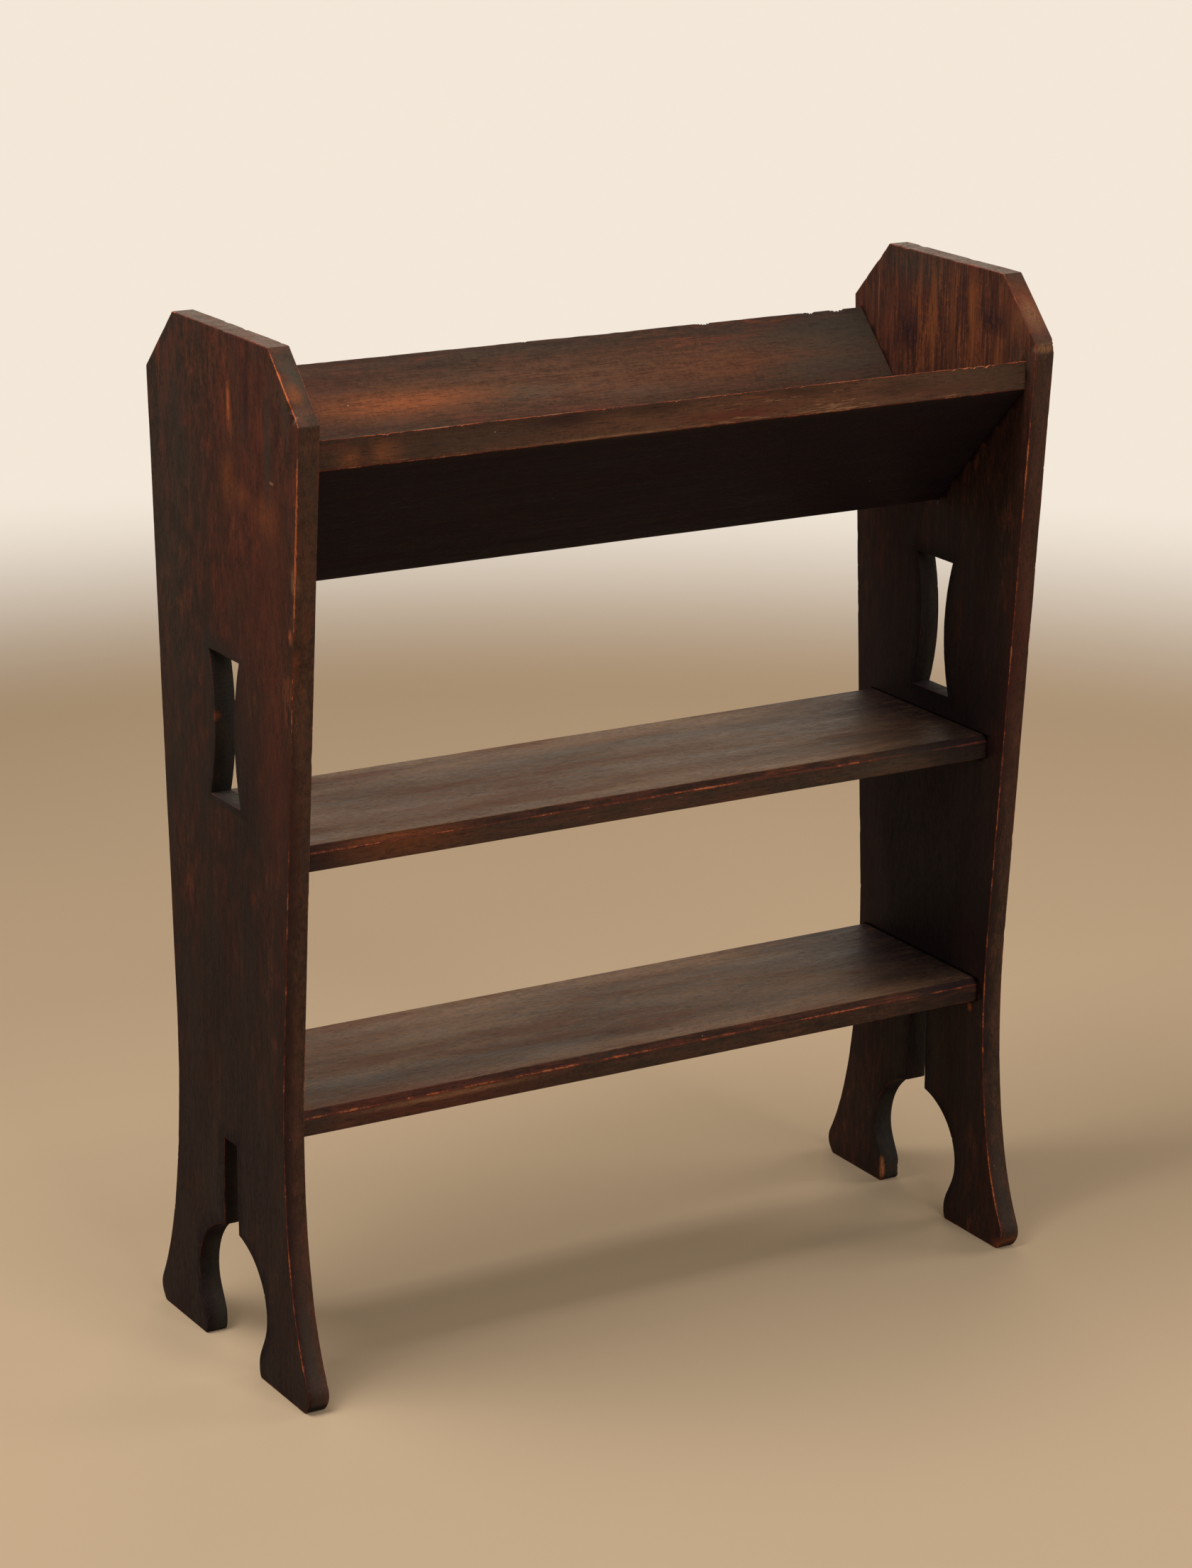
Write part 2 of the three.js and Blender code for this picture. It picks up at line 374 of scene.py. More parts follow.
def rim_points(edge, held, outer, inner, reveal, wear, dice):
    """The rim's points, from the outer face over both arrises to the inner face. The walls of the
    cut-outs have no dents, and neither has the sole of a foot."""
    run = run_along(edge)
    inward = np.sign(inner - outer)
    count = len(edge)
    dent = dented(run, wear["dents"], DEEPEST_DENT, dice) * (edge[:, 1] > HOLD) * (1 - reveal)
    columns = [(np.full(count, RIM_HOLD), np.full(count, outer), 0.0, 0)]
    columns += arris_columns(run, dent, outer, inward, wear["outer"], dice)
    for x in (outer + inward * RIM_HOLD, (outer + inner) / 2, inner - inward * RIM_HOLD):
        columns.append((dent, np.full(count, x), 0.0, 1))
    columns += arris_columns(run, dent, inner, -inward, wear["inner"], dice)[::-1]
    columns.append((np.full(count, RIM_HOLD), np.full(count, inner), 0.0, 0))
    rows = []
    for inset, x, _, _ in columns:
        flat = edge + (held - edge) * (inset / RIM_HOLD)[:, None]
        rows.append(np.column_stack([x, flat]))
    return np.stack(rows, axis=1), *np.array([c[2:] for c in columns]).T


def arris_columns(run, dent, x, way, wear, dice):
    """An arris of the rim, from the broad face at x on to the edge, which goes on the given way."""
    reach = rubbed(run, wear, RIM_LIMIT, dice)
    back, on = arris_curve(reach, bulge_of(reach, wear))
    rows = enumerate(arris_values())
    return [(dent + back[:, j], x + way * on[:, j], peak, j / ARRIS_STEPS) for j, peak in rows]


def arris_values():
    """How much each point round an arris takes the wear: most in the middle."""
    t = np.linspace(-1, 1, ARRIS_STEPS + 1)
    return 1 - 0.35 * t**2


def cap_faces(rims, at, first):
    """Triangles that fill a broad face between the rims' held rows, and the points added there."""
    loops = [(held, starts + at * last) for held, starts, last in rims]
    border = np.concatenate([held for held, _ in loops])
    owners = np.concatenate([ids for _, ids in loops])
    edges, start = [], 0
    for held, _ in loops:
        n = len(held)
        edges += [(start + i, start + (i + 1) % n) for i in range(n)]
        start += n
    border, owners, edges = merged_border(border, owners, edges)
    low, high = border.min(axis=0), border.max(axis=0)
    y, z = np.meshgrid(
        np.arange(low[0] + FACE_SPACING, high[0], FACE_SPACING),
        np.arange(low[1] + FACE_SPACING, high[1], FACE_SPACING),
    )
    y = y + FACE_SPACING / 2 * (np.arange(y.shape[0]) % 2)[:, None]
    grid = np.column_stack([y.ravel(), z.ravel()])
    gap = np.array([np.sqrt(((border - g) ** 2).sum(axis=1).min()) for g in grid])
    grid = grid[gap > CAP_MARGIN]
    spots = [Vector(p) for p in np.concatenate([border, grid])]
    out = geometry.delaunay_2d_cdt(spots, edges, [], 1, FLAT / 10)
    sources = [min(origin) for origin in out[3]]
    wood = [face for face in out[2] if in_wood(np.mean([out[0][i] for i in face], axis=0), rims)]
    used = sorted({sources[i] for face in wood for i in face} - set(range(len(border))))
    place = {spot: first + i for i, spot in enumerate(used)}
    ids = {**dict(enumerate(owners)), **place}
    faces = [[int(ids[sources[i]]) for i in face] for face in wood]
    return grid[np.array(used) - len(border)], faces


def in_wood(spot, rims):
    """Whether a spot lies inside an odd number of the rims' held rows."""
    crossed = 0
    for held, _, _ in rims:
        y, z = (held - spot).T
        next_y, next_z = np.roll(y, -1), np.roll(z, -1)
        passes = (z > 0) != (next_z > 0)
        crossed += (passes & ((y * next_z - next_y * z) * (next_z - z) > 0)).sum()
    return crossed % 2 == 1


def merged_border(border, owners, edges):
    """Border points that coincide, as the partners of a corner do, become one."""
    keep, where, found = [], [], {}
    for i, point in enumerate(border):
        key = tuple(np.round(point, 7))
        if key not in found:
            found[key] = len(keep)
            keep.append(i)
        where.append(found[key])
    pairs = [(where[a], where[b]) for a, b in edges if where[a] != where[b]]
    return border[keep], owners[keep], pairs


def board(name, wears, spacing, seed):
    """A board of one profile all along x, whose arrises wear differently from place to place."""
    dice = np.random.default_rng(seed)
    low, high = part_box(name)
    profile = face_loops(name, 1)[0]
    count = round((high.x - low.x) / spacing)
    stations = np.linspace(low.x, high.x, count + 1)
    size = np.array([high.y - low.y, high.z - low.z])
    shares = (profile - [low.y, low.z]) / size
    rings, values = [], []
    for i, corner in enumerate(profile):
        arriving, leaving = directions_at(profile, i)
        wear = min(wears, key=lambda w: np.linalg.norm(shares[i] - w["share"]))
        reach = rubbed(stations, wear, WEAR_LIMIT, dice)
        back, on = arris_curve(reach, bulge_of(reach, wear))
        for j, peak in enumerate(arris_values()):
            rings.append(corner - arriving * back[:, j, None] + leaving * on[:, j, None])
            values.append(peak * wear["show"])
        length = np.linalg.norm(profile[(i + 1) % len(profile)] - corner)
        steps = max(1, round((length - 2 * HOLD) / FACE_SPACING))
        outward = -leftward(leaving)
        for run in np.linspace(HOLD, length - HOLD, steps + 1):
            flat = np.repeat((corner + leaving * run)[None], len(stations), axis=0)
            dip = waved(np.column_stack([stations, flat]), seed + i)
            held = 1 if HOLD * 1.01 < run < length - HOLD * 1.01 else 0
            rings.append(flat + outward * (dip * held)[:, None])
            values.append(0.0)
    flat = np.stack(rings, axis=1)
    columns = flat.shape[1]
    x = np.repeat(stations[:, None], columns, axis=1)
    points = np.concatenate([x[..., None], flat], axis=2).reshape(-1, 3)
    grid = np.arange(len(points)).reshape(-1, columns)
    faces = strips(len(grid), columns, "columns").tolist()
    faces += [grid[0].tolist(), grid[-1][::-1].tolist()]
    worn = np.tile(values, len(stations))
    narrow = (points[:, 1] < low.y + NARROW) | (points[:, 1] > high.y - NARROW)
    return mesh_object(name + "_oak", points, faces, dict(zip(VALUES, (worn, 0 * worn, narrow))))


def knocked(piece, knocks):
    """Pushes the wood in around each knock."""
    mesh = piece.data
    co = np.empty(len(mesh.vertices) * 3)
    mesh.vertices.foreach_get("co", co)
    co = co.reshape(-1, 3)
    for place, radius, push in knocks:
        away = co - np.multiply(place, MM)
        near = np.clip(1 - (away**2).sum(axis=1) / (radius * MM) ** 2, 0, 1) ** 1.5
        rough = 1 + 0.3 * np.sin(away @ KNOCK_RIPPLES)
        co += (near * rough)[:, None] * np.multiply(push, MM)
    mesh.vertices.foreach_set("co", co.ravel())
    mesh.update()


# Cutting the joints

def prism(name, profile, x_low, x_high):
    n = len(profile)
    points = [(x, *p) for x in (x_low, x_high) for p in profile]
    walls = [(i, (i + 1) % n, n + (i + 1) % n, n + i) for i in range(n)]
    return mesh_object(name, points, walls + [tuple(range(n))[::-1], tuple(range(n, 2 * n))])


def grown(profile, clearance):
    """A convex profile moved out all round."""
    return np.array([corner_inset(profile, i, -clearance) for i in range(len(profile))])


def pocket_profile(name):
    """The outline of a board's housing. A shelf's is square and starts in front of the shelf."""
    if not name.endswith("shelf"):
        return grown(face_loops(name, 1)[0], FIT_GAP)
    low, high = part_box(name)
    front = low.y - HOUSING_FRONT_ROOM
    corners = [(front, low.z), (high.y, low.z), (high.y, high.z), (front, high.z)]
    return grown(np.array(corners), FIT_GAP)


def solid_copy(name, growth):
    """A CAD node's solid, grown about its own middle."""
    middle = sum(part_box(name), Vector()) / 2
    copy = new_object(name + "_cutter", nodes[name].data.copy())
    there, back = Matrix.Translation(middle), Matrix.Translation(-middle)
    copy.data.transform(there @ Matrix.Scale(growth, 4) @ back)
    weld(copy.data)
    return copy


def weld(mesh):
    work = bmesh.new()
    work.from_mesh(mesh)
    bmesh.ops.remove_doubles(work, verts=work.verts, dist=FLAT)
    bmesh.ops.recalc_face_normals(work, faces=work.faces)
    work.to_mesh(mesh)
    work.free()


def evaluated(piece):
    """The piece's mesh with its modifiers worked in."""
    graph = bpy.context.evaluated_depsgraph_get()
    mesh = bpy.data.meshes.new_from_object(piece.evaluated_get(graph), depsgraph=graph)
    piece.modifiers.clear()
    return mesh


def cut(piece, cutters):
    """Takes the cutters out of a piece, and keeps its values for the shader."""
    before = piece.data
    for cutter in cutters:
        modifier = piece.modifiers.new("cut", "BOOLEAN")
        modifier.operation = "DIFFERENCE"
        modifier.solver = "MANIFOLD"
        modifier.object = cutter
    piece.data = evaluated(piece)
    carry_values(before, piece.data)
    for cutter in cutters:
        bpy.data.objects.remove(cutter)


def carry_values(source, target):
    """Gives each point of the target the values of the source's point in the same place."""
    tree = kdtree.KDTree(len(source.vertices))
    for i, vertex in enumerate(source.vertices):
        tree.insert(vertex.co, i)
    tree.balance()
    nearest = [tree.find(vertex.co) for vertex in target.vertices]
    for key in VALUES:
        old = target.attributes.get(key)
        if old:
            target.attributes.remove(old)
        numbers = [
            source.attributes[key].data[i].value if gap < FLAT else 0.0 for _, i, gap in nearest
        ]
        target.attributes.new(key, "FLOAT", "POINT").data.foreach_set("value", numbers)


# Materials

class Reading:
    """A value on its way through a node tree. Arithmetic on it adds Math nodes."""

    def __init__(self, recipe, socket):
        self.recipe = recipe
        self.socket = socket

    def worked(self, operation, first, second):
        return self.recipe.node("Math", {"operation": operation}, {0: first, 1: second})

    def __add__(self, other):
        return self.worked("ADD", self, other)

    def __sub__(self, other):
        return self.worked("SUBTRACT", self, other)

    def __rsub__(self, other):
        return self.worked("SUBTRACT", other, self)

    def __mul__(self, other):
        return self.worked("MULTIPLY", self, other)

    def __truediv__(self, other):
        return self.worked("DIVIDE", self, other)

    def least(self, other):
        return self.worked("MINIMUM", self, other)

    __radd__ = __add__
    __rmul__ = __mul__


class Recipe:
    """The nodes of a material, of the world or of a geometry tree."""

    def __init__(self, owner):
        self.owner = self.tree = owner
        if not isinstance(owner, bpy.types.NodeTree):
            owner.use_nodes = True
            self.tree = owner.node_tree
            self.tree.nodes.clear()

    def node(self, kind, settings=(), inputs=(), output=0):
        made = self.tree.nodes.new(kind if "Node" in kind else "ShaderNode" + kind)
        for key, value in dict(settings).items():
            setattr(made, key, value)
        for key, value in dict(inputs).items():
            socket = self.socket(made.inputs, key)
            if isinstance(value, Reading):
                self.tree.links.new(value.socket, socket)
            else:
                socket.default_value = value
        return Reading(self, self.socket(made.outputs, output)) if made.outputs else None

    def socket(self, sockets, key):
        if isinstance(key, int):
            return sockets[key]
        return next(s for s in sockets if key in (s.identifier, s.name))

    def vector(self, operation, *values, output="Vector"):
        return self.node("VectorMath", {"operation": operation}, dict(enumerate(values)), output)

    def mixed(self, low, high, share):
        settings = {"data_type": "RGBA", "clamp_factor": True}
        inputs = {"Factor_Float": share, "A_Color": low, "B_Color": high}
        return self.node("Mix", settings, inputs, "Result_Color")

    def eased(self, value, low, high, to_low=0.0, to_high=1.0):
        """A smooth step from low to high."""
        inputs = {"Value": value, "From Min": low, "From Max": high}
        inputs |= {"To Min": to_low, "To Max": to_high}
        return self.node("MapRange", {"interpolation_type": "SMOOTHSTEP"}, inputs, "Result")

    def toned(self, wood, tone, share):
        return self.mixed(wood, TONES[tone], share)

    def cloud(self, place, spread, detail=3.0, roughness=0.5):
        """Noise that repeats more often along an axis the larger its number in spread."""
        inputs = {"Vector": self.vector("MULTIPLY", place, spread), "Scale": 1.0}
        inputs |= {"Detail": detail, "Roughness": roughness}
        return self.node("TexNoise", inputs=inputs)


def colour(red, green, blue):
    return (red, green, blue, 1.0)


DUST_PER_METRE = 62.0
SAW_TEETH = (25.0, 700.0, 700.0)
GRAIN_SWAY = 16.0
WAX_SHINE = 0.05

# Linear colours of the wood, from its darkest to where the finish is gone
TONES = {
    # The near-black tone serves as soot in pores and fine grime, and as painted shade on faces turned
    # down and below the trough.
    "soot_and_shade": colour(0.0104, 0.0072, 0.0096),
    "dark": colour(0.0240, 0.0125, 0.0090),
    "brown": colour(0.0620, 0.0290, 0.0185),
    "red": colour(0.1080, 0.0270, 0.0165),
    "warm": colour(0.1800, 0.0540, 0.0190),
    "patina": colour(0.0340, 0.0310, 0.0250),
    "olive": colour(0.0620, 0.0450, 0.0310),
    # The faded tone is partly real fading and dust. On the shelves' tops it is also a painted sheen.
    "faded": colour(0.2200, 0.1220, 0.0670),
    "sawn": colour(0.0290, 0.0300, 0.0260),
    "orange": colour(0.4300, 0.1080, 0.0340),
    "tan": colour(0.3800, 0.1900, 0.0950),
    "bare": colour(0.5200, 0.1900, 0.0720),
    "dust": colour(0.5500, 0.5000, 0.4300),
}


class Grain:
    """Noise readings of one board, whose grain runs along one axis after a tilt about x.
    Each spread is (repeats along the grain, repeats across it) in 1 mm."""

    def __init__(self, recipe, place, along, tilt, seed, length):
        self.recipe = recipe
        self.along = along
        self.length = length
        shift = (137.0 * seed, 61.0 * seed, 29.0 * seed)
        turned = {"Vector": place, "Location": shift, "Rotation": (tilt, 0, 0), "Scale": (1 / MM,) * 3}
        straight = recipe.node("Mapping", inputs=turned)
        bend = recipe.cloud(straight, self.spread(0.0026, 0.009), 2.0)
        sway = [GRAIN_SWAY] * 3
        sway[along] = 0.0
        self.space = recipe.vector("MULTIPLY_ADD", bend, tuple(sway), straight)
        self.fibre = self.reading(0.150, 0.80, 3.0, 0.60)
        self.stripe = self.reading(0.0260, 0.27, 4.0, 0.60)
        self.cloudlet = self.reading(0.045, 0.120, 4.0, 0.68)
        self.patch = self.reading(0.0120, 0.034, 5.0, 0.60)
        self.stain = self.reading(0.0100, 0.021, 4.0, 0.55)
        self.pore = recipe.eased(self.reading(0.22, 2.0, 2.0, 0.50), 0.55, 0.72)
        self.fleck = self.reading(0.16, 1.1, 3.0, 0.60)
        self.mottle = recipe.cloud(place, (240.0,) * 3, 5.0, 0.72)
        self.coarse = recipe.cloud(place, (17.0,) * 3, 2.0)
        self.broken = recipe.cloud(place, (80.0,) * 3, 3.0, 0.6)
        self.fine = recipe.cloud(place, (520.0,) * 3, 3.0, 0.7)

    def blend(self, **shares):
        """The sum of some readings, each taken by its share."""
        parts = [share * getattr(self, name) for name, share in shares.items()]
        return sum(parts[1:], parts[0])

    def spread(self, with_grain, across):
        sizes = [across] * 3
        sizes[self.along] = with_grain / self.length
        return tuple(sizes)

    def reading(self, with_grain, across, detail, roughness):
        return self.recipe.cloud(self.space, self.spread(with_grain, across), detail, roughness)


def marked(r, place, grain, wood, handled, flecked, marks):
    """The wood with its marks, and how handled and how flecked it is. A mark is (place, reach, tone,
    amount) and shows where the surface lies within its reach. "rub" is handling, "fleck" bare
    threads, and "figure" strong grain."""
    ragged = grain.blend(cloudlet=1.4, fibre=1.0, stain=1.2) - 1.8
    broken = grain.blend(fibre=0.40, cloudlet=0.30, mottle=0.30)
    broken = r.eased(broken, 0.38, 0.58, 0.30, 1.0)
    for at, reach, tone, amount in marks:
        at, reach = (tuple(c * MM for c in vector) for vector in (at, reach))
        offset = r.vector("DIVIDE", r.vector("SUBTRACT", place, at), reach)
        distance = r.vector("LENGTH", offset, output="Value")
        cover = r.eased(distance + ragged, 1.40, 0.05)
        if tone == "rub":
            handled += amount * cover
        elif tone == "fleck":
            flecked += amount * cover
        elif tone == "figure":
            wood = figured(r, grain, wood, amount * cover)
        else:
            wood = r.toned(wood, tone, amount * cover * broken)
    return wood, handled, flecked


def figured(r, grain, wood, share):
    """Wood with orange stripes and dark patches along its grain."""
    shadow = grain.blend(stripe=0.45, cloudlet=0.35, mottle=0.20)
    wood = r.toned(wood, "dark", 0.8 * share * r.eased(shadow, 0.46, 0.58))
    light = grain.blend(stripe=0.50, cloudlet=0.20, mottle=0.30)
    return r.toned(wood, "warm", share * r.eased(light, 0.53, 0.39))


def seasoned(r, grain, look):
    """The wood before any mark or wear: brown, clouded with red, darker where dirt has stayed."""
    depth = grain.blend(fibre=0.30, mottle=0.25, cloudlet=0.45)
    wood = r.mixed(TONES["dark"], TONES["brown"], r.eased(depth, 0.38, 0.60))
    redness = grain.blend(cloudlet=0.38, patch=0.32, mottle=0.15, fibre=0.15)
    wood = r.toned(wood, "red", 0.9 * r.eased(redness + look["red"], 0.46, 0.62))
    glow = grain.blend(stain=0.40, cloudlet=0.32, fibre=0.28)
    wood = r.toned(wood, "warm", 0.8 * r.eased(glow, 0.56, 0.70))
    grime = grain.blend(stain=0.42, patch=0.28, stripe=0.18, mottle=0.12)
    wood = r.toned(wood, "patina", 0.75 * r.eased(0.96 - grime, 0.48, 0.60))
    wood = r.toned(wood, "dark", look["stripes"] * r.eased(grain.stripe, 0.48, 0.58))
    return r.toned(wood, "soot_and_shade", 0.28 * r.eased(grain.fine, 0.50, 0.68))


def fumed_oak(name, along, tilt, seed, marks, look):
    """Dark fumed oak under thin old wax: pored along the grain, with painted shade on the faces turned
    down and a faded tone, partly a painted sheen, on faces turned up, and rubbed to orange along
    the arrises."""
    r = Recipe(bpy.data.materials.new(name))
    place = r.node("TexCoord", output="Object")
    grain = Grain(r, place, along, tilt, seed, look["length"])
    wood = seasoned(r, grain, look)

    arris, sawn, rim = (r.node("Attribute", {"attribute_name": key}, output="Fac") for key in VALUES)
    facing = r.node("NewGeometry", output="Normal")
    down = r.vector("DOT_PRODUCT", facing, (0.0, 0.0, -1.0), output="Value")
    # Faces turned up take the faded tone. It is partly real fading and dust, and partly a painted sheen
    # in place of the wax's reflection.
    sheen_and_fading = look["faded"] * r.eased(down, -0.7, -0.98)
    threads = grain.blend(fibre=0.28, stripe=0.25, mottle=0.20, stain=0.27)
    sheen_and_fading *= r.eased(threads, 0.42, 0.57, 0.25, 1.0)
    wood = r.toned(wood, "faded", sheen_and_fading)
    wood = r.toned(wood, "red", 0.45 * sheen_and_fading * r.eased(grain.patch, 0.51, 0.60))
    rim = r.eased(rim, 0.4, 0.9)
    dulled = look["rim"] * r.eased(grain.patch + grain.mottle, 0.80, 1.10, 0.35, 0.9)
    wood = r.toned(wood, "olive", rim * dulled)
    wood = r.toned(wood, "sawn", sawn * r.eased(grain.mottle, 0.3, 0.6, 0.6, 0.9))
    handled = arris - 0.25 * sawn + grain.blend(coarse=1.2, broken=1.5, mottle=0.5)
    handled += look["rub"] - 1.6
    flecked = grain.blend(fleck=1.0, patch=0.6) - 0.34
    wood, handled, flecked = marked(r, place, grain, wood, handled, flecked, marks)
    # Painted shade: faces turned down are darkened towards near black, as if they were in shadow.
    wood = r.toned(wood, "soot_and_shade", 0.90 * r.eased(down, 0.35, 0.65))
    wood = r.toned(wood, "red", 0.80 * r.eased(handled, 0.28, 0.88))
    bright = r.eased(handled + 0.9 * (grain.fine - 0.5), 0.84, 1.16)
    worn = r.mixed(TONES["orange"], TONES["tan"], r.eased(grain.coarse, 0.46, 0.64, 0.0, look["tan"]))
    wood = r.mixed(wood, worn, bright * look["bright"])
    wood = r.toned(wood, "tan", r.eased(flecked, 0.70, 0.80) * (0.10 + 0.45 * rim))
    wood = r.toned(wood, "soot_and_shade", look["pores"] * grain.pore)

    cells = {"Vector": r.vector("MULTIPLY", place, (DUST_PER_METRE,) * 3), "Scale": 1.0}
    near = r.node("TexVoronoi", {}, cells, "Distance")
    pick = r.node("TexVoronoi", {}, cells, "Color")
    chosen = r.node("SeparateColor", {}, {"Color": pick}, "Red")
    speck = r.eased(near, 0.034, 0.016) * r.eased(chosen, 0.80, 0.82)
    wood = r.toned(wood, "dust", look["dust"] * speck)

    rough = grain.blend(fibre=0.40, stripe=0.35, patch=0.50, pore=0.12) - 0.125
    teeth = r.cloud(place, SAW_TEETH, 2.0)
    height = grain.blend(fibre=0.6, stripe=0.3, pore=-0.5, mottle=0.7)
    inputs = {"Strength": 0.55, "Distance": 0.35 * MM, "Height": height + 1.5 * sawn * teeth}
    relief = r.node("Bump", inputs=inputs, output="Normal")
    inputs = {
        "Base Color": wood,
        "Roughness": rough + 0.25 * sawn,
        "Normal": relief,
        "Specular IOR Level": WAX_SHINE,
    }
    r.node("OutputMaterial", inputs={"Surface": r.node("BsdfPrincipled", inputs=inputs)})
    return r.owner


def beech(name):
    """Plain dowel wood with fine flecks."""
    r = Recipe(bpy.data.materials.new(name))
    place = r.node("TexCoord", output="Object")
    fleck = r.cloud(place, (900.0,) * 3, 3.0, 0.6)
    tone = r.cloud(place, (70.0,) * 3, 2.0)
    wood = r.mixed(colour(0.36, 0.19, 0.085), colour(0.50, 0.31, 0.16), r.eased(tone, 0.35, 0.65))
    wood = r.mixed(wood, colour(0.20, 0.09, 0.04), 0.5 * r.eased(fleck, 0.55, 0.7))
    inputs = {"Strength": 0.3, "Distance": 0.1 * MM, "Height": fleck}
    relief = r.node("Bump", inputs=inputs, output="Normal")
    inputs = {"Base Color": wood, "Roughness": 0.6 + 0.2 * fleck, "Normal": relief}
    r.node("OutputMaterial", inputs={"Surface": r.node("BsdfPrincipled", inputs=inputs)})
    return r.owner


# Dowels

def dowel_tree(material):
    """A fluted dowel at each point, turned to the point's direction and as long as it says."""
    tree = bpy.data.node_groups.new("fluted dowels", "GeometryNodeTree")
    kinds = {"Geometry": "Geometry", "Radius": "Float", "Flutes": "Int"}
    kinds |= {"Flute depth": "Float", "Tip": "Float"}
    for label, kind in kinds.items():
        tree.interface.new_socket(label, in_out="INPUT", socket_type="NodeSocket" + kind)
    tree.interface.new_socket("Geometry", in_out="OUTPUT", socket_type="NodeSocketGeometry")
    g = Recipe(tree)
    given = {s.name: Reading(g, s) for s in tree.nodes.new("NodeGroupInput").outputs}

    ring = {"Resolution": given["Flutes"] * FLUTE_STEPS, "Radius": 1.0}
    circle = g.node("GeometryNodeCurvePrimitiveCircle", inputs=ring)
    turn = g.node("GeometryNodeInputIndex") * (2 * math.pi / FLUTE_STEPS)
    wave = (g.node("Math", {"operation": "SINE"}, {0: turn}) - 1.0) * 0.5
    share = wave * (given["Flute depth"] / given["Radius"]) + 1.0
    place = g.node("GeometryNodeInputPosition")
    fluted = g.node("VectorMath", {"operation": "SCALE"}, {0: place, "Scale": share})
    profile = g.node("GeometryNodeSetPosition", inputs={"Geometry": circle, "Position": fluted})

    middle = {"Start": (0, 0, -0.5), "End": (0, 0, 0.5)}
    line = g.node("GeometryNodeCurvePrimitiveLine", inputs=middle)
    line = g.node("GeometryNodeResampleCurve", inputs={"Curve": line, "Count": DOWEL_RINGS})
    along = g.node("GeometryNodeSplineParameter", output="Factor")
    ease = (along.least(1.0 - along) * (DOWEL_RINGS - 1)).least(1.0)
    taper = given["Radius"] - given["Tip"] * (1.0 - ease)
    sweep = {"Curve": line, "Profile Curve": profile, "Scale": taper, "Fill Caps": True}
    pin = g.node("GeometryNodeCurveToMesh", inputs=sweep)

    named = "GeometryNodeInputNamedAttribute"
    direction = g.node(named, {"data_type": "FLOAT_VECTOR"}, {"Name": "direction"})
    length = g.node(named, {"data_type": "FLOAT"}, {"Name": "length"})
    turned = g.node("FunctionNodeAlignRotationToVector", {"axis": "Z"}, {"Vector": direction})
    size = g.node("CombineXYZ", inputs={"X": 1.0, "Y": 1.0, "Z": length})
    spots = {"Points": given["Geometry"], "Instance": pin, "Rotation": turned, "Scale": size}
    placed = g.node("GeometryNodeInstanceOnPoints", inputs=spots)
    real = g.node("GeometryNodeRealizeInstances", inputs={"Geometry": placed})
    dressed = g.node("GeometryNodeSetMaterial", inputs={"Geometry": real, "Material": material})
    g.node("NodeGroupOutput", inputs={"Geometry": dressed})
    return tree


def dowel_facts(name):
    """The middle, direction, length and radius of a CAD dowel."""
    co = np.array([v.co for v in nodes[name].data.vertices])
    middle = (co.min(axis=0) + co.max(axis=0)) / 2
    unique = np.unique(np.round(co, 6), axis=0)
    direction = np.linalg.svd(unique - middle, full_matrices=False)[2][0]
    away = (unique - middle) @ direction
    across = np.linalg.norm(unique - middle - away[:, None] * direction, axis=1)
    return middle, direction, np.ptp(away), across.max()


def dowels(names, material):
    facts = [dowel_facts(name) for name in names]
    piece = mesh_object("dowels_beech", [f[0] for f in facts], [])
    mesh = piece.data
    mesh.attributes.new("direction", "FLOAT_VECTOR", "POINT").data.foreach_set(
        "vector", np.array([f[1] for f in facts], np.float32).ravel()
    )
    mesh.attributes.new("length", "FLOAT", "POINT").data.foreach_set("value", [f[2] for f in facts])
    tree = dowel_tree(material)
    modifier = piece.modifiers.new("dowels", "NODES")
    modifier.node_group = tree
    wanted = {"Radius": float(min(f[3] for f in facts)), "Flutes": DOWEL_FLUTES}
    wanted |= {"Flute depth": DOWEL_FLUTE_DEPTH, "Tip": DOWEL_TIP}
    for socket in tree.interface.items_tree:
        if socket.name in wanted:
            modifier[socket.identifier] = wanted[socket.name]
    piece.data = evaluated(piece)
    piece.data.set_sharp_from_angle(angle=SHARP_TURN)
    return piece


# The object's own wear, board by board

def worn_arris(ease, chips, depth, share=None, show=1.0, nicks=()):
    """How far an arris is eased, how many chips it has and how deep, in mm. The share says which
    arris of a board it is, as (front to back, low to high) in the board's box. A nick is a chip
    in a known place: (x in m, width, depth)."""
    nicks = [(x, width * MM, deep * MM) for x, width, deep in nicks]
    return dict(ease=ease * MM, chips=chips, depth=depth * MM, share=share, show=show, nicks=nicks)


END_WEAR = {
    "left_end": {"dents": 46, "outer": worn_arris(0.75, 40, 1.2), "inner": worn_arris(0.65, 24, 1.1)},
    "right_end": {"dents": 46, "outer": worn_arris(0.70, 30, 1.2), "inner": worn_arris(0.70, 36, 1.2)},
}

FRONT_NICKS = [(0.262, 8, 2.3), (0.274, 6, 2.6), (0.243, 9, 1.8), (-0.252, 7, 2.2), (-0.240, 5, 1.8)]
TOP_NICKS = [(0.288, 16, 2.6), (0.262, 9, 2.4), (0.16, 18, 2.2)]
SHELF_ARRISES = [
    worn_arris(0.6, 8, 0.9, (0.1, 1), 0.4),
    worn_arris(0.6, 8, 0.9, (0, 0), 0.7),
    worn_arris(0.7, 8, 0.9, (1, 0.5), 0.7),
]

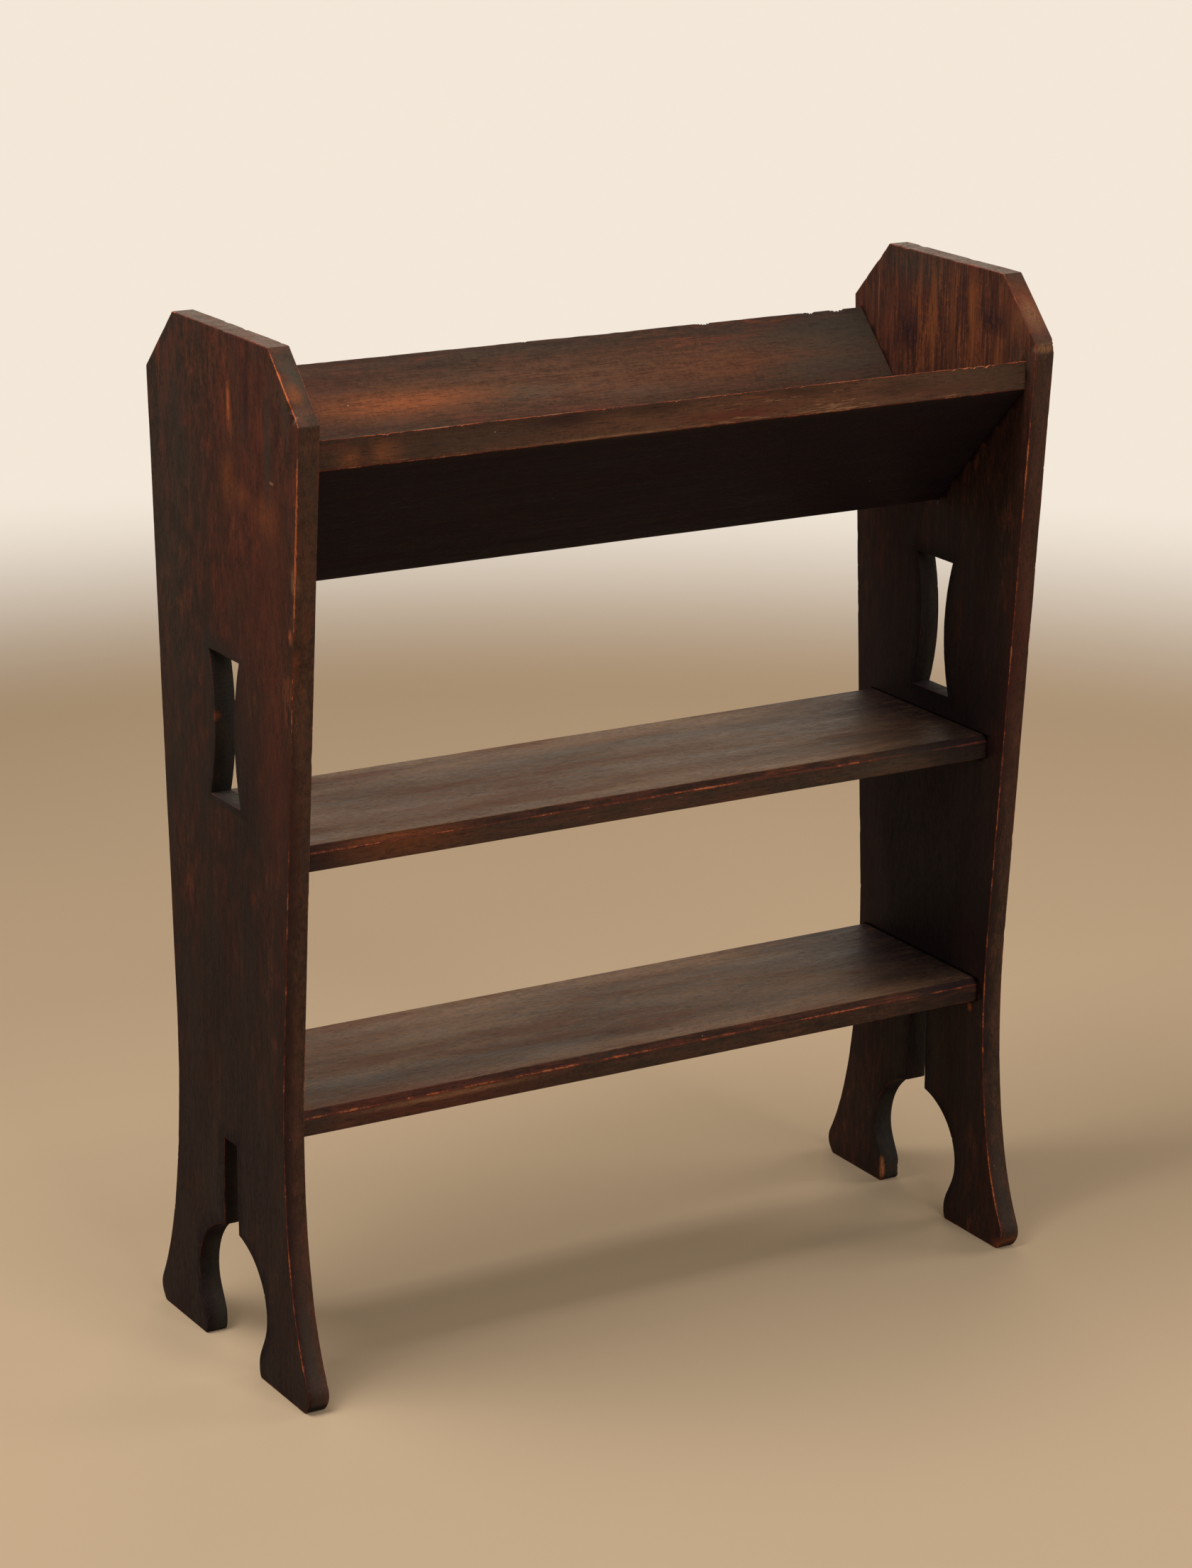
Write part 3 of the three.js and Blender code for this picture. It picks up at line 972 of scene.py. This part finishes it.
BOARD_WEAR = {
    "trough_front_board": [
        worn_arris(1.0, 48, 1.9, (0, 1), 1.25, FRONT_NICKS),
        worn_arris(0.6, 16, 1.1, (0, 0.8)),
        worn_arris(0.6, 8, 0.9, (0.9, 0), 0.35),
        worn_arris(0.3, 0, 0.3, (1, 0.1), 0.0),
    ],
    "trough_back_board": [
        worn_arris(0.8, 10, 1.2, (1, 0.8)),
        worn_arris(1.1, 34, 1.5, (1, 1), 0.5, TOP_NICKS),
        worn_arris(0.3, 0, 0.3, (0, 0), 0.0),
    ],
    "upper_shelf": [worn_arris(0.9, 14, 1.2, (0, 0.7), 1.1)] + SHELF_ARRISES,
    "lower_shelf": [worn_arris(1.0, 18, 1.4, (0, 0.7), 1.1)] + SHELF_ARRISES,
}

# Knocks in mm: (place, radius, push)
KNOCKS = {
    "left_end": [
        ((-330, -113.5, 771), 6, (2.0, 1.8, -1.8)),
        ((-330, -118, 765.5), 4, (1.8, 1.4, -1.4)),
        ((-330, -115, 645), 6, (0.6, 0.7, 0)),
        ((-330, 6, 809), 5, (0.7, 0, -0.6)),
    ],
    "right_end": [
        ((330, -125.5, 759), 6, (-0.8, 1.0, -0.6)),
        ((312.5, -125.5, 758), 6, (0.6, 1.0, -0.4)),
        ((312.5, 45.5, 14), 9, (0.5, 1.3, 0.2)),
        ((330, 45.5, 10), 7, (-0.4, 1.0, 0.2)),
        ((312.5, -128, 10), 9, (0.5, 1.1, 0.6)),
    ],
}

# Marks in mm: (place, reach, tone, amount)
MARKS = {
    "left_end": [
        # The outer face grows darker towards the bottom.
        ((-330, 0, 60), (10, 400, 660), "dark", 0.95),
        ((-330, 0, 0), (10, 500, 640), "soot_and_shade", 0.9),
        ((-320, -120, 150), (8.5, 40, 330), "red", 0.45),
        ((-321.3, -120, 70), (6.8, 30, 120), "patina", 1),
        ((-330, -112, 150), (6, 20, 220), "rub", 0.28),
        ((-312.5, -112, 150), (6, 20, 220), "rub", 0.28),
        ((-330, -115, 769), (4, 4, 6.5), "soot_and_shade", 0.95),
        ((-330, -118.5, 764), (4, 1.6, 3), "dust", 0.45),
        ((-330, 90, 640), (12, 65, 260), "patina", 0.6),
        ((-330, -45, 690), (12, 65, 150), "red", 0.45),
        ((-330, -85, 540), (12, 25, 150), "red", 0.5),
        ((-321.3, -116, 560), (9.5, 12, 300), "warm", 0.22),
        ((-330, -13.5, 757), (8, 3.4, 20), "orange", 0.9),
        ((-330, -17.5, 742), (8, 2.6, 16), "warm", 0.9),
        ((-330, -13, 698), (8, 13, 22), "warm", 0.7),
        ((-330, -43, 767), (8, 5, 30), "soot_and_shade", 0.85),
        ((-330, -34, 692), (10, 14, 10), "warm", 0.55),
        ((-330, -72, 684), (10, 20, 18), "warm", 0.6),
        ((-330, -76, 735), (10, 6, 50), "patina", 0.8),
        ((-330, -105, 770), (10, 8, 30), "patina", 0.8),
        ((-330, -119, 690), (12, 6, 100), "rub", 0.6),
        ((-330, -102, 785), (12, 30, 40), "rub", 0.6),
        ((-330, -115, 645), (6, 4, 11), "tan", 0.6),
        ((-330, -110, 604), (6, 3.6, 7), "orange", 0.9),
        ((-330, -115, 571), (6, 3, 24), "orange", 0.85),
        ((-330, 14, 513), (6, 3.6, 5), "orange", 1),
        ((-330, -82, 711), (4, 3.8, 1.3), "tan", 0.8),
        ((-318, -100, 785), (11, 30, 30), "patina", 0.75),
        ((-322, -98, 786), (10, 20, 20), "olive", 0.7),
        ((-323, -105, 777), (7, 12, 12), "warm", 0.9),
    ],
    "right_end": [
        # Painted shade: the inner face is darkened below the trough, where the trough and shelves
        # shadow it.
        ((312.5, 0, 330), (10, 250, 470), "dark", 0.95),
        ((312.5, 10, 300), (10, 220, 440), "soot_and_shade", 0.9),
        ((312.5, 10, 420), (10, 200, 320), "soot_and_shade", 0.45),
        ((312.5, 10, 765), (7, 110, 70), "red", 0.5),
        ((312.5, -10, 770), (7, 120, 95), "figure", 0.9),
        ((312.5, 35, 800), (7, 60, 22), "patina", 0.7),
        ((312.5, -39, 768), (6, 6.5, 50), "warm", 1),
        ((312.5, -12, 768), (6, 4, 45), "warm", 0.7),
        ((312.5, 14, 760), (6, 5.5, 42), "warm", 0.95),
        ((312.5, 33, 780), (6, 4, 40), "warm", 0.5),
        ((312.5, -75, 742), (6, 9, 24), "warm", 0.5),
        ((312.5, 48, 740), (6, 19, 20), "soot_and_shade", 0.95),
        ((312.5, -66, 769), (6, 18, 11), "soot_and_shade", 0.9),
        ((312.5, -33, 757), (6, 5.5, 13), "soot_and_shade", 0.8),
        ((312.5, 91, 765), (4, 0.7, 30), "tan", 0.45),
        ((312.5, -71.8, 197), (6, 3.6, 4), "orange", 1),
        ((312.5, 46.5, 13), (4.2, 3.8, 12), "bare", 1),
        ((312.5, 46, 12), (3.6, 3.4, 12), "bare", 1),
        ((321.3, -120, 60), (6, 30, 80), "patina", 0.85),
        ((321, -127, 3), (14, 12, 7), "orange", 0.6),
        ((321, -125.5, 757), (14, 6, 4), "tan", 0.8),
        ((321, -125.5, 757), (14, 8, 9), "rub", 0.35),
        ((321, -102, 784), (14, 26, 28), "red", 1),
        ((321, -102, 784), (14, 26, 28), "warm", 0.65),
        ((321, -106, 780), (10, 16, 18), "faded", 0.55),
        ((312.5, -116, 620), (10, 6, 150), "rub", 0.3),
        ((312.5, -115, 150), (6, 25, 260), "rub", 0.4),
        ((330, -115, 150), (6, 25, 260), "rub", 0.28),
        ((321, -115, 400), (12, 20, 330), "dark", 0.5),
        ((321, -115, 480), (12, 20, 250), "red", 0.5),
    ],
    "trough_back_board": [
        ((-150, 86, 720), (90, 16, 16), "warm", 0.8),
        ((-120, 86, 718), (70, 9, 9), "orange", 0.3),
        ((157, 87, 721), (70, 14, 14), "red", 0.45),
        ((52, 83, 717), (55, 11, 11), "red", 0.35),
        ((-240, 95, 730), (80, 24, 24), "red", 0.4),
        ((180, 90, 725), (200, 30, 30), "warm", 0.25),
        ((250, 107, 741), (120, 17, 17), "patina", 0.7),
        ((243, 78, 712), (55, 12, 12), "patina", 0.6),
        ((300, 95, 730), (90, 50, 50), "patina", 0.85),
        ((-20, 112, 746), (200, 10, 10), "patina", 0.6),
        ((20, 90, 724), (300, 40, 40), "faded", 0.2),
    ],
    "trough_front_board": [
        ((-280, -112, 729), (12, 6, 8), "warm", 0.95),
        ((-254, -112, 731), (17, 6, 10), "warm", 1),
        ((-269, -112, 732), (7, 6, 10), "soot_and_shade", 0.9),
        ((-222, -112, 733), (24, 6, 12), "dark", 0.8),
        ((-60, -112, 723.5), (110, 5, 2.2), "tan", 0.9),
        ((80, -112, 733), (340, 6, 20), "faded", 0.64),
        ((80, -112, 734), (300, 6, 14), "red", 0.6),
        ((-103, -112, 741), (42, 6, 8.5), "soot_and_shade", 0.9),
        ((-25, -112, 742), (45, 6, 6), "dark", 0.8),
        ((100, -112, 741), (55, 6, 6), "dark", 0.7),
        ((195, -112, 736), (30, 6, 9), "dark", 0.6),
        ((45, -112, 729), (60, 6, 6), "red", 0.9),
        ((240, -112, 730), (50, 6, 5), "red", 0.7),
        ((290, -112, 734), (110, 6, 18), "olive", 0.6),
        ((150, -112, 733), (200, 6, 12), "fleck", 0.15),
        ((30, -112, 725.5), (330, 5, 4), "fleck", 0.14),
        ((-180, -112, 734), (70, 6, 11), "patina", 0.5),
    ],
    "upper_shelf": [
        ((-296, -79, 424), (34, 10, 20), "soot_and_shade", 1),
        # Painted shade and a painted dark reflection of the end panel on the shelf top next to the
        # right end.
        ((310, 0, 432.3), (170, 240, 14), "dark", 0.95),
        ((315, 0, 432.3), (90, 200, 14), "soot_and_shade", 1),
        ((290, -79, 427), (90, 8, 12), "rub", -0.4),
        ((-225, -77, 426), (75, 6, 16), "warm", 0.95),
        ((-235, -76, 429), (45, 4, 4), "orange", 0.35),
        ((209, -79, 421), (90, 6, 12), "olive", 0.85),
        ((300, -79, 421), (60, 10, 18), "soot_and_shade", 0.8),
        ((-200, -30, 432), (150, 30, 6), "warm", 0.4),
        ((60, 40, 432), (200, 20, 6), "dark", 0.5),
    ],
    "lower_shelf": [
        ((-296, -79, 214), (18, 10, 16), "patina", 0.9),
        # Painted shade and a painted dark reflection of the end panel on the shelf top next to the
        # right end.
        ((310, 0, 224), (170, 240, 14), "dark", 0.95),
        ((315, 0, 224), (90, 200, 14), "soot_and_shade", 1),
        ((290, -79, 218.7), (90, 8, 12), "rub", -0.3),
        ((-190, -79, 215.5), (80, 6, 2.8), "tan", 0.9),
        ((300, -79, 212), (70, 10, 18), "soot_and_shade", 0.7),
        ((-200, -79, 210), (120, 6, 11), "red", 0.75),
        ((-100, -50, 224), (200, 18, 6), "dark", 0.55),
        ((-220, 40, 224), (120, 20, 6), "warm", 0.3),
    ],
}

# How each board looks: its grain's length and stripes, its wear, and what lies in and on it
PLAIN_LOOK = {"length": 1.0, "red": 0.0, "stripes": 0.15, "faded": 0.0, "pores": 0.50, "dust": 0.5}
PLAIN_LOOK |= {"rim": 0.55, "rub": -0.20, "bright": 0.9, "tan": 0.30}
TROUGH_LOOK = PLAIN_LOOK | {"length": 2.4, "stripes": 0.45, "red": -0.04, "pores": 0.65}
# The shelves' upward faces take the faded tone strongly. It is partly fading and dust, and partly a
# painted sheen.
SHELF_LOOK = PLAIN_LOOK | {"length": 2.0, "stripes": 0.45, "faded": 0.94, "pores": 0.70}

LOOKS = {
    "left_end": PLAIN_LOOK,
    "right_end": PLAIN_LOOK | {"length": 1.2, "stripes": 0.30, "pores": 0.70},
    "trough_back_board": TROUGH_LOOK | {"dust": 0.9},
    "trough_front_board": TROUGH_LOOK | {"rim": 0.12, "rub": -0.12, "tan": 0.9, "bright": 0.75},
    "upper_shelf": SHELF_LOOK,
    "lower_shelf": SHELF_LOOK | {"faded": 1.0},
}

BOARDS = ("trough_front_board", "trough_back_board", "upper_shelf", "lower_shelf")
ENDS = {"left_end": -1, "right_end": 1}
TILTS = {"trough_front_board": math.pi / 4, "trough_back_board": -math.pi / 4}
dowel_names = sorted(name for name in nodes if "dowel" in name)


def holes_for(name):
    """Cutters for the dowels that enter a board or an end."""
    side = name.split("_")[0]
    if name in ENDS:
        mine = [d for d in dowel_names if f"_{side}_dowel" in d]
    else:
        point = name.startswith("trough")
        mine = [d for d in dowel_names if d.startswith(name) or (point and "point" in d)]
    return [solid_copy(d, DOWEL_HOLE_GROWTH) for d in mine]


def pockets_for(side):
    cutters = []
    for name in BOARDS:
        low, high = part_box(name)
        bottom = (high.x + FIT_GAP) if side > 0 else (low.x - FIT_GAP)
        mouth = bottom - side * (HOUSING_MOUTH + FIT_GAP) * 2
        span = sorted((bottom, mouth))
        cutters.append(prism(name + "_pocket", pocket_profile(name), *span))
    return cutters


def dress(piece, name, cutters, seed, along, tilt=0.0):
    """Knocks and cuts a bare board, gives it its wood, and puts it in its node's place."""
    weld(piece.data)
    knocked(piece, KNOCKS.get(name, ()))
    cut(piece, cutters)
    weld(piece.data)
    piece.data.shade_smooth()
    piece.data.set_sharp_from_angle(angle=SHARP_TURN)
    material = fumed_oak(name + " oak", along, tilt, seed, MARKS[name], LOOKS[name])
    piece.data.materials.clear()
    piece.data.materials.append(material)
    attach(piece, "root")
    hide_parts(name)


for seed, (name, side) in enumerate(ENDS.items(), 3):
    panel = end_panel(name, side, END_WEAR[name], seed)
    dress(panel, name, pockets_for(side) + holes_for(name), seed, 2)

for seed, name in enumerate(BOARDS, 11):
    spacing = TROUGH_SPACING if name.startswith("trough") else SHELF_SPACING
    plank = board(name, BOARD_WEAR[name], spacing, seed)
    dress(plank, name, holes_for(name), seed, 0, TILTS.get(name, 0.0))

pins = dowels(dowel_names, beech("dowel beech"))
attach(pins, "root")
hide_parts(*dowel_names)


# Floor, backdrop and light

WALL = colour(0.895, 0.800, 0.690)
FLOOR = colour(0.470, 0.355, 0.240)
FLOOR_RADIUS = 9.0
FLOOR_CORNERS = 96
HORIZON_NEAR = 1.7
HORIZON_FAR = 2.9
ROOM_LIGHT = 0.13
WARM_WHITE = (1.0, 0.95, 0.88)
WALL_GLOW = (1.0, 0.84, 0.66)
AIM = (0.0, 0.0, 0.55)

# Lamps: (place, power, size, colour)
LAMPS = {
    "key": ((-1.00, 0.10, 2.35), 50.0, 1.2, WARM_WHITE),
    "front fill": ((0.10, -2.50, 2.40), 42.0, 1.6, WARM_WHITE),
    "back fill": ((1.60, 2.30, 2.20), 22.0, 1.8, WALL_GLOW),
    "side fill": ((2.60, -0.50, 1.60), 22.0, 1.4, WARM_WHITE),
}


def floor():
    turns = np.linspace(0, 2 * math.pi, FLOOR_CORNERS, endpoint=False)
    points = [(FLOOR_RADIUS * math.cos(t), FLOOR_RADIUS * math.sin(t), 0) for t in turns]
    piece = mesh_object("floor", points, [tuple(range(len(points)))])
    r = Recipe(bpy.data.materials.new("pale floor"))
    place = r.node("TexCoord", output="Object")
    distance = r.vector("LENGTH", place, output="Value")
    away = r.eased(distance, HORIZON_NEAR, HORIZON_FAR)
    ground = r.node("BsdfDiffuse", inputs={"Color": FLOOR})
    wall = r.node("Emission", inputs={"Color": WALL, "Strength": 1.0})
    seen = r.node("LightPath", output="Is Camera Ray")
    backdrop = r.node("MixShader", inputs={0: away * seen, 1: ground, 2: wall})
    r.node("OutputMaterial", inputs={"Surface": backdrop})
    piece.data.materials.append(r.owner)


def room():
    """The pale room that the camera and reflections see, which lights the object only softly."""
    made = bpy.data.worlds.new("soft room")
    bpy.context.scene.world = made
    r = Recipe(made)
    camera_ray = r.node("LightPath", output="Is Camera Ray")
    glossy_ray = r.node("LightPath", output="Is Glossy Ray")
    seen = r.node("Math", {"operation": "MAXIMUM"}, {0: camera_ray, 1: glossy_ray})
    soft = r.node("Background", inputs={"Color": colour(*WARM_WHITE), "Strength": ROOM_LIGHT})
    shown = r.node("Background", inputs={"Color": WALL, "Strength": 1.0})
    mix = r.node("MixShader", inputs={0: seen, 1: soft, 2: shown})
    r.node("OutputWorld", inputs={"Surface": mix})


def lamp(name, place, power, size, tint):
    light = bpy.data.lights.new(name, "AREA")
    light.energy = power
    light.size = size
    light.color = tint
    made = new_object(name, light)
    made.location = place
    made.rotation_euler = (Vector(AIM) - Vector(place)).to_track_quat("-Z", "Y").to_euler()


floor()
room()
for name, facts in LAMPS.items():
    lamp(name, *facts)

# Camera at the photograph's angle: looking back along the trough from the front left
CAMERA_PLACE = (-1.657736, -2.741416, 1.395870)
CAMERA_YAW = math.radians(31.0568)
CAMERA_PITCH = math.radians(17.0031)
CAMERA_ROLL = math.radians(-0.6867)
CAMERA_SENSOR = 24.0
CAMERA_LENS = 65.058


def camera():
    lens = bpy.data.cameras.new("camera")
    lens.sensor_fit = "VERTICAL"
    lens.sensor_height = CAMERA_SENSOR
    lens.lens = CAMERA_LENS
    made = new_object("camera", lens)
    level = Matrix.Rotation(-CAMERA_YAW, 4, "Z") @ Matrix.Rotation(math.pi / 2 - CAMERA_PITCH, 4, "X")
    made.matrix_world = Matrix.Translation(CAMERA_PLACE) @ level @ Matrix.Rotation(-CAMERA_ROLL, 4, "Z")
    bpy.context.scene.camera = made


camera()
bpy.context.scene.view_settings.view_transform = "Standard"
